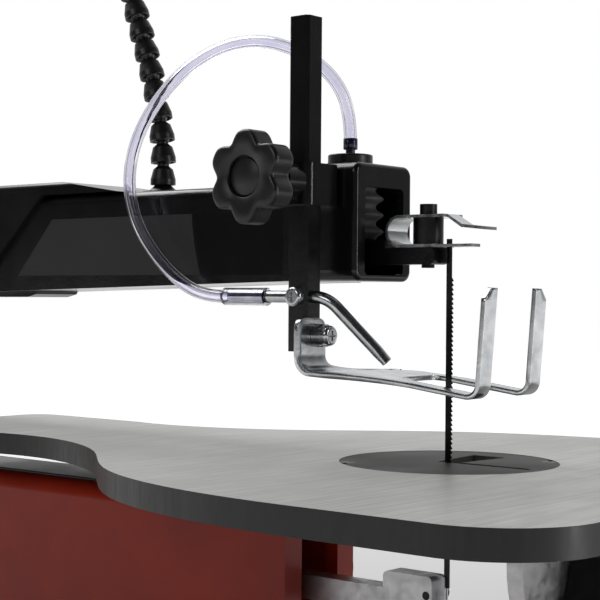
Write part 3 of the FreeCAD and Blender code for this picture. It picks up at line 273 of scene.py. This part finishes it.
LOOKS = {
    "orange": ["base", "c_frame"],
    "powder_black": [
        "side_cover", "arm_housing_left", "arm_housing_right", "arm_rear_cover", "motor_can", "table_post",
        "foot_clamp", "foot_rod", "upper_rocker_arm",
    ],
    "gloss_black": ["arm_gloss_panels"],
    "label_grey": ["arm_labels"],
    "black_plastic": [
        "dust_port", "cord_gland", "motor_end_cover", "bellows_cap", "control_box", "lamp_base",
        "tension_knob", "tilt_lock_knob", "foot_lock_knob", "speed_dial", "lamp_neck_1", "lamp_neck_2",
        "lamp_neck_3", "lamp_head",
    ],
    "red_plastic": ["power_switch"],
    "rubber": ["bellows"],
    "insert_grey": ["table_insert"],
    "zinc": ["blade_clamp_plate", "blower_pipe", "blower_screw", "foot_fork", "foot_screw"],
    "steel": [
        "pivot_pins", "motor_bearings", "stator", "tilt_pins", "rocker_pin", "tension_rod", "tension_spring",
        "crank", "motor_shaft",
    ],
    "black_steel": [
        "housing_screws", "upper_grip_screw", "lower_grip_screw", "blade_clamp_screw", "blade",
        "insert_screws",
    ],
    "aluminium": ["motor_flange", "lower_rocker_arm", "connecting_rod", "rotor_and_fan", "trunnions"],
    "bronze": ["upper_bushing", "lower_bushing"],
    "table": ["table"],
    "clear": ["hose_sleeve", "air_hose"],
}


def finish_node(name, material, width_mm):
    """Gives a CAD node its material and softly broken edges."""
    node = NODES[name]
    node.data.materials.clear()
    node.data.materials.append(material)
    bevel = node.modifiers.new("broken_edges", "BEVEL")
    bevel.width = width_mm * MM
    bevel.segments = 2
    bevel.limit_method = "ANGLE"
    bevel.angle_limit = math.radians(38)
    bevel.harden_normals = False


BROKEN_EDGE = {
    "base": 1.0, "c_frame": 0.8, "table": 0.7, "blade": 0.0, "arm_labels": 0.15, "arm_gloss_panels": 0.15,
}
for look, names in LOOKS.items():
    for node_name in names:
        finish_node(node_name, MATERIALS[look], BROKEN_EDGE.get(node_name, 0.3))


# ---------------------------------------------------------------- mesh helpers
def add_piece(name, mesh, material, body=None, smooth_below=40.0):
    """Puts a mesh in the scene with its material; rides it on a body."""
    piece = bpy.data.objects.new(name, mesh)
    bpy.context.scene.collection.objects.link(piece)
    mesh.materials.append(material)
    mesh.shade_smooth()
    mesh.set_sharp_from_angle(angle=math.radians(smooth_below))
    if body:
        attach(piece, body)
    return piece


def tube_mesh(name, path, outer, inner, sides=24):
    """A hollow tube of two radii along a list of points."""
    bm = bmesh.new()
    rings = []
    side = None
    for n, point in enumerate(path):
        along = (path[min(n + 1, len(path) - 1)] - path[max(n - 1, 0)]).normalized()
        if side is None:
            side = along.orthogonal().normalized()
        side = (side - along * side.dot(along)).normalized()
        other = along.cross(side)
        loop = []
        for radius in (outer, inner):
            turns = [2 * math.pi * k / sides for k in range(sides)]
            around = [side * math.cos(t) + other * math.sin(t) for t in turns]
            loop.append([bm.verts.new(point + out * radius) for out in around])
        rings.append(loop)
    for k in range(sides):
        j = (k + 1) % sides
        for (out_a, in_a), (out_b, in_b) in zip(rings, rings[1:]):
            bm.faces.new((out_a[k], out_a[j], out_b[j], out_b[k]))
            bm.faces.new((in_a[j], in_a[k], in_b[k], in_b[j]))
        for (out, into), flip in ((rings[0], True), (rings[-1], False)):
            corners = [out[k], out[j], into[j], into[k]]
            bm.faces.new(corners[::-1] if flip else corners)
    bmesh.ops.recalc_face_normals(bm, faces=bm.faces)
    mesh = bpy.data.meshes.new(name)
    bm.to_mesh(mesh)
    bm.free()
    return mesh


# ---------------------------------------------------------------- air hose
HOSE_DIAMETER, HOSE_BORE = 5.0, 3.2
HOSE_ROUTE = [
    (0, 46.5, 117.5),
    (0, 46.5, 131),
    (-4.5, 52, 145),
    (-10, 65, 155),
    (-14, 81, 160),
    (-18, 98, 158.5),
    (-22, 114, 150.5),
    (-25, 127.5, 138),
    (-27.5, 137, 122),
    (-29, 139, 105),
    (-30.2, 133, 89),
    (-30.6, 121.5, 75.5),
    (-30.4, 107, 64.5),
    (-30, 93.5, 59.5),
    (-30, 83, 59.5),
]


def nurbs_path(route):
    """The points along the route's smooth NURBS line."""
    data = bpy.data.curves.new("hose_line", "CURVE")
    data.dimensions = "3D"
    data.resolution_u = 8
    spline = data.splines.new("NURBS")
    spline.points.add(len(route) - 1)
    for point, place in zip(spline.points, route):
        point.co = (*at(*place), 1)
    spline.order_u = 3
    spline.use_endpoint_u = True
    line = bpy.data.objects.new("hose_line", data)
    bpy.context.scene.collection.objects.link(line)
    bpy.context.view_layer.update()
    mesh = bpy.data.meshes.new_from_object(line.evaluated_get(bpy.context.evaluated_depsgraph_get()))
    points = [v.co.copy() for v in mesh.vertices]
    bpy.data.objects.remove(line)
    bpy.data.meshes.remove(mesh)
    return points


def air_hose():
    path = nurbs_path(HOSE_ROUTE)
    mesh = tube_mesh("clear_air_hose", path, HOSE_DIAMETER / 2 * MM, HOSE_BORE / 2 * MM)
    hose = add_piece("clear_air_hose", mesh, MATERIALS["clear"])
    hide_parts("air_hose")
    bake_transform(hose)


air_hose()


# ---------------------------------------------------------------- profiles and lathes
def mesh_from(name, build):
    """A mesh that build(bm) fills, with its faces turned outwards."""
    bm = bmesh.new()
    build(bm)
    bmesh.ops.remove_doubles(bm, verts=bm.verts, dist=1e-6)
    bmesh.ops.recalc_face_normals(bm, faces=bm.faces)
    mesh = bpy.data.meshes.new(name)
    bm.to_mesh(mesh)
    bm.free()
    return mesh


def join_rings(bm, rings, closed_ends=True):
    """Skins closed rings of points, given in millimetres, from the first to the last."""
    loops = [[bm.verts.new(at(*p)) for p in ring] for ring in rings]
    count = len(loops[0])
    for low, high in zip(loops, loops[1:]):
        for k in range(count):
            j = (k + 1) % count
            bm.faces.new((low[k], low[j], high[j], high[k]))
    if closed_ends:
        bm.faces.new(loops[0][::-1])
        bm.faces.new(loops[-1])


def rounded_path(points, radii, steps=8):
    """A 2-D line whose corners are rounded by the given radii."""
    points = [Vector(p) for p in points]
    line = [points[0]]
    for before, corner, after, radius in zip(points, points[1:], points[2:], radii):
        back, ahead = (before - corner).normalized(), (after - corner).normalized()
        half = back.angle(ahead) / 2
        cut = radius / math.tan(half)
        centre = corner + (back + ahead).normalized() * radius / math.sin(half)
        first, last = corner + back * cut - centre, corner + ahead * cut - centre
        turn = first.angle(last)
        for n in range(steps + 1):
            a, b = math.sin(turn * (1 - n / steps)), math.sin(turn * n / steps)
            line.append(centre + (first * a + last * b) / math.sin(turn))
    line.append(points[-1])
    return line


def between(table, value):
    """Linear reading of a table of (value, result) pairs, in falling or rising order."""
    rows = sorted(table)
    if value <= rows[0][0]:
        return rows[0][1]
    for (a, low), (b, high) in zip(rows, rows[1:]):
        if value <= b:
            return low + (high - low) * (value - a) / (b - a)
    return rows[-1][1]


# ---------------------------------------------------------------- foot lock knob
KNOB_Y, KNOB_Z, KNOB_RADIUS = 44.0, 101.5, 16.7
KNOB_FACE, KNOB_BACK, KNOB_RECESS = -64.0, -54.0, 7.3


def star(x, inset, sides=180):
    """The knob's six-lobed outline at x, drawn in by an inset."""
    ring = []
    for n in range(sides):
        turn = 2 * math.pi * n / sides
        wave = 0.5 + 0.5 * math.cos(6 * turn)
        radius = KNOB_RADIUS - 3.5 * (1 - wave) ** 1.7 - inset
        ring.append((x, KNOB_Y + radius * math.sin(turn), KNOB_Z + radius * math.cos(turn)))
    return ring


def circle(x, radius, sides=180):
    turns = [2 * math.pi * n / sides for n in range(sides)]
    return [(x, KNOB_Y + radius * math.sin(t), KNOB_Z + radius * math.cos(t)) for t in turns]


def foot_lock_knob():
    edge = [(0.0, 1.5), (0.15, 0.9), (0.5, 0.35), (1.1, 0.05), (1.8, 0.0)]
    front = [star(KNOB_FACE + depth, inset) for depth, inset in edge]
    rear = [star(KNOB_BACK - depth, inset) for depth, inset in reversed(edge)]
    cap = [(1.0, 0.05), (1.0, 6.4), (1.3, 6.8), (1.9, 6.9)]
    cap += [(1.9, KNOB_RECESS), (0.4, KNOB_RECESS), (0, KNOB_RECESS + 0.4)]
    hub = [(0, 7.5), (4.4, 7.5), (5.0, 6.9), (5.0, 3.0), (19.0, 3.0)]
    rings = [circle(KNOB_FACE + depth, radius) for depth, radius in cap] + front + rear
    rings += [circle(KNOB_BACK + depth, radius) for depth, radius in hub]
    mesh = mesh_from("foot_lock_star", lambda bm: join_rings(bm, rings))
    knob = add_piece("foot_lock_star", mesh, MATERIALS["black_plastic"], "foot_lock", 50.0)
    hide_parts("foot_lock_knob")


# ---------------------------------------------------------------- hold-down foot
PLATE_THICK = 1.9
FOOT_LEFT = [
    (38.4, -41.3), (33, -41.0), (28, -37.4), (23, -31.6), (18, -27), (13, -23.6), (8, -21.4), (3, -20),
    (-40, -20),
]
FOOT_RIGHT = [
    (38.4, -25.4), (37, -24), (35.5, -18.5), (33.5, -11), (31, -2), (28, 6.5), (25, 11.6), (22, 14.4),
    (12, 18), (3, 20), (-40, 20),
]
SLOT_REAR, SLOT_ROUND, SLOT_HALF = 14.0, 5.0, 12.8
TAB_TOP, PRONG_TOP, PRONG_CUT = 52.0, 63.2, 59.2


def foot_rows():
    """The sheet's side line: down the tab, forward along the plate and up the prongs."""
    slope = 0.125
    middle = 27.95
    tab = (38.35, TAB_TOP)
    heel = (38.35, middle + slope * 38.35)
    toe = (-24.75, middle - slope * 24.75)
    tip = (-27.65, PRONG_TOP)
    line = rounded_path([tab, heel, toe, tip], [6.0, 4.5], 10)
    rows = []
    for a, b in zip(line, line[1:]):
        parts = max(1, round((b - a).length / 0.8))
        rows += [a + (b - a) * n / parts for n in range(parts)]
    return rows + [line[-1]]


def foot_edges(n, row, last_plate):
    """The sheet's left and right edges and half of its slot's width at a row."""
    y, z = row
    left, right = between(FOOT_LEFT, y), between(FOOT_RIGHT, y)
    if z > TAB_TOP - 4 and y > 30:
        trim = 4 - math.sqrt(max(0.0, 16 - (z - TAB_TOP + 4) ** 2))
        left, right = left + trim, right - trim
    if n > last_plate and z > PRONG_CUT:
        left, right = -20 + (z - PRONG_CUT) * 0.93, 20 - (z - PRONG_CUT) * 0.93
    if y > SLOT_REAR:
        half = 0.0
    else:
        into = max(0.0, y - SLOT_REAR + SLOT_ROUND)
        half = SLOT_HALF - SLOT_ROUND + math.sqrt(SLOT_ROUND**2 - into**2)
    return left, right, half


def foot_fork():
    rows = foot_rows()
    lowest = min(range(len(rows)), key=lambda n: rows[n][1])

    def build(bm):
        previous = None
        for n, row in enumerate(rows):
            left, right, half = foot_edges(n, row, lowest)
            third = (right - left) * 0.3
            inner_left, inner_right = (-half, half) if half else (left + third, right - third)
            if not half and row[0] < 30:
                inner_left, inner_right = -SLOT_HALF + SLOT_ROUND, SLOT_HALF - SLOT_ROUND
            xs = [left, (left + inner_left) / 2, inner_left, (inner_left + inner_right) / 2, inner_right]
            xs += [(inner_right + right) / 2, right]
            verts = [bm.verts.new(at(x, row[0], row[1])) for x in xs]
            if previous:
                for k in range(6):
                    if half and k in (2, 3):
                        continue
                    bm.faces.new((previous[k], previous[k + 1], verts[k + 1], verts[k]))
            previous = verts

    mesh = mesh_from("bent_foot_fork", build)
    fork = add_piece("bent_foot_fork", mesh, MATERIALS["zinc"], "foot", 60.0)
    thick = fork.modifiers.new("sheet", "SOLIDIFY")
    thick.thickness = PLATE_THICK * MM
    thick.offset = 0.0
    thick.use_even_offset = False
    edge = fork.modifiers.new("edge", "BEVEL")
    edge.width = 0.3 * MM
    edge.segments = 2
    edge.limit_method = "ANGLE"
    edge.angle_limit = math.radians(50)
    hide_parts("foot_fork")


# ---------------------------------------------------------------- blower pipe
def blower_pipe():
    path = rounded_path([(-30, 80, 59.5), (-30, 33.2, 59.5), (-19.6, 13.5, 36.3)], [11.0], 14)
    fine = []
    for a, b in zip(path, path[1:]):
        parts = max(1, round((b - a).length / 1.5))
        fine += [a + (b - a) * n / parts for n in range(parts)]
    fine.append(path[-1])

    def rings(radius):
        out, side = [], Vector((1, 0, 0))
        for n, point in enumerate(fine):
            along = (fine[min(n + 1, len(fine) - 1)] - fine[max(n - 1, 0)]).normalized()
            side = (side - along * side.dot(along)).normalized()
            other = along.cross(side)
            left = (fine[-1] - point).length
            flare = max(0.0, 1 - left / 5.0)
            wide, flat = radius * (1 + 0.22 * flare), radius * (1 - 0.18 * flare)
            turns = [2 * math.pi * k / 28 for k in range(28)]
            out.append([point + side * math.cos(t) * wide + other * math.sin(t) * flat for t in turns])
        return out

    outer, inner = rings(2.25), rings(1.65)
    skin = outer + inner[::-1]
    mesh = mesh_from("bent_blower_pipe", lambda bm: join_rings(bm, skin + [outer[0]], False))
    pipe = add_piece("bent_blower_pipe", mesh, MATERIALS["zinc"], "foot_post", 50.0)
    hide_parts("blower_pipe")


# ---------------------------------------------------------------- bellows and small trims
def bellows():
    low, high, ridges, valley, ridge = 81.4, 106.5, 4, 9.9, 12.9
    profile = [(low, 1.0)]
    steps = 40
    for n in range(steps + 1):
        share = n / steps
        wave = 0.5 - 0.5 * math.cos(2 * math.pi * ridges * share)
        profile.append((low + (high - low) * share, valley + (ridge - valley) * wave**1.4))
    profile.append((high, 1.0))
    turns = [2 * math.pi * k / 72 for k in range(72)]
    rings = [[(r * math.cos(t), 46.5 + r * math.sin(t), z) for t in turns] for z, r in profile]
    mesh = mesh_from("rubber_bellows", lambda bm: join_rings(bm, rings))
    piece = add_piece("rubber_bellows", mesh, MATERIALS["rubber"], None, 80.0)
    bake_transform(piece)
    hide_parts("bellows")


def ring_piece(name, centre, low, high, outer, inner, material, body):
    """A plain upright ring with broken edges."""
    x, y = centre
    edge = 0.15
    profile = [(low, inner), (low, outer - edge), (low + edge, outer)]
    profile += [(high - edge, outer), (high, outer - edge), (high, inner), (low, inner)]
    turns = [2 * math.pi * k / 48 for k in range(48)]
    rings = [[(x + r * math.cos(t), y + r * math.sin(t), z) for t in turns] for z, r in profile]
    mesh = mesh_from(name, lambda bm: join_rings(bm, rings, False))
    piece = add_piece(name, mesh, MATERIALS[material], body, 50.0)


def frame_strip():
    """The black strip along the lower arm's top."""
    half, low, high, front, rear = 15.5, -20.0, -19.2, 66.0, 436.0
    left_side = [(-half, low), (-half, high - 0.4), (-half + 0.5, high)]
    section = left_side + [(-x, z) for x, z in left_side[::-1]]
    rings = [[(x, y, z) for x, z in section] for y in (front, (front + rear) / 2, rear)]
    mesh = mesh_from("frame_top_strip", lambda bm: join_rings(bm, rings))
    piece = add_piece("frame_top_strip", mesh, MATERIALS["black_plastic"], "root", 30.0)


foot_lock_knob()
foot_fork()
blower_pipe()
bellows()
ring_piece("hose_collar", (0, 46.5), 116.1, 120.3, 2.75, 2.52, "collar", "root")
frame_strip()


# ---------------------------------------------------------------- studio
def studio():
    bm = bmesh.new()
    bmesh.ops.create_grid(bm, x_segments=1, y_segments=1, size=6.0)
    mesh = bpy.data.meshes.new("floor")
    bm.to_mesh(mesh)
    bm.free()
    floor = bpy.data.objects.new("floor", mesh)
    floor.location.z = CAD_BOX[0][2] - 0.0005
    bpy.context.scene.collection.objects.link(floor)
    s = Shader("floor_white")
    s.put("Base Color", (0.92, 0.92, 0.92, 1))
    s.put("Roughness", 0.9)
    distance = s.add("ShaderNodeVectorMath", operation="LENGTH")
    s.link(s.place, distance.inputs[0])
    s.put("Emission Color", (1, 1, 1, 1))
    s.put("Emission Strength", s.spread(distance.outputs["Value"], 0.05, 0.85, 0.6, 2.2))
    mesh.materials.append(s.material)

    world = bpy.data.worlds.new("studio")
    bpy.context.scene.world = world
    world.use_nodes = True
    tree = world.node_tree
    background = tree.nodes["Background"]
    coordinates = tree.nodes.new("ShaderNodeTexCoord")
    towards = tree.nodes.new("ShaderNodeVectorMath")
    towards.operation = "DOT_PRODUCT"
    towards.inputs[1].default_value = (math.cos(VIEW_TURN), math.sin(VIEW_TURN), 0.25)
    tree.links.new(coordinates.outputs["Generated"], towards.inputs[0])
    fall = tree.nodes.new("ShaderNodeMapRange")
    for key, value in (("From Min", 0.1), ("From Max", 0.95), ("To Min", 0.025), ("To Max", 0.8)):
        fall.inputs[key].default_value = value
    tree.links.new(towards.outputs["Value"], fall.inputs["Value"])
    rays = tree.nodes.new("ShaderNodeLightPath")
    seen = tree.nodes.new("ShaderNodeMath")
    seen.operation = "MAXIMUM"
    tree.links.new(rays.outputs["Is Camera Ray"], seen.inputs[0])
    tree.links.new(fall.outputs["Result"], seen.inputs[1])
    tree.links.new(seen.outputs["Value"], background.inputs["Strength"])
    background.inputs["Color"].default_value = (1, 1, 1, 1)

    lights = [
        ("top_softbox", (40, 750, 950), (0, 150, 60), (700, 700), 7.0),
        ("left_softbox", (-1100, 150, 600), (0, 150, 60), (600, 400), 1.6),
        ("front_strip", (260, -900, 180), (0, 20, 80), (110, 900), 2.6),
    ]
    for name, place, aim, size, power in lights:
        data = bpy.data.lights.new(name, "AREA")
        data.shape = "RECTANGLE"
        data.size, data.size_y = size[0] * MM, size[1] * MM
        data.energy = power
        lamp = bpy.data.objects.new(name, data)
        lamp.location = at(*place)
        lamp.rotation_euler = (at(*aim) - at(*place)).to_track_quat("-Z", "Y").to_euler()
        bpy.context.scene.collection.objects.link(lamp)


studio()
bpy.context.scene.view_settings.view_transform = "Standard"
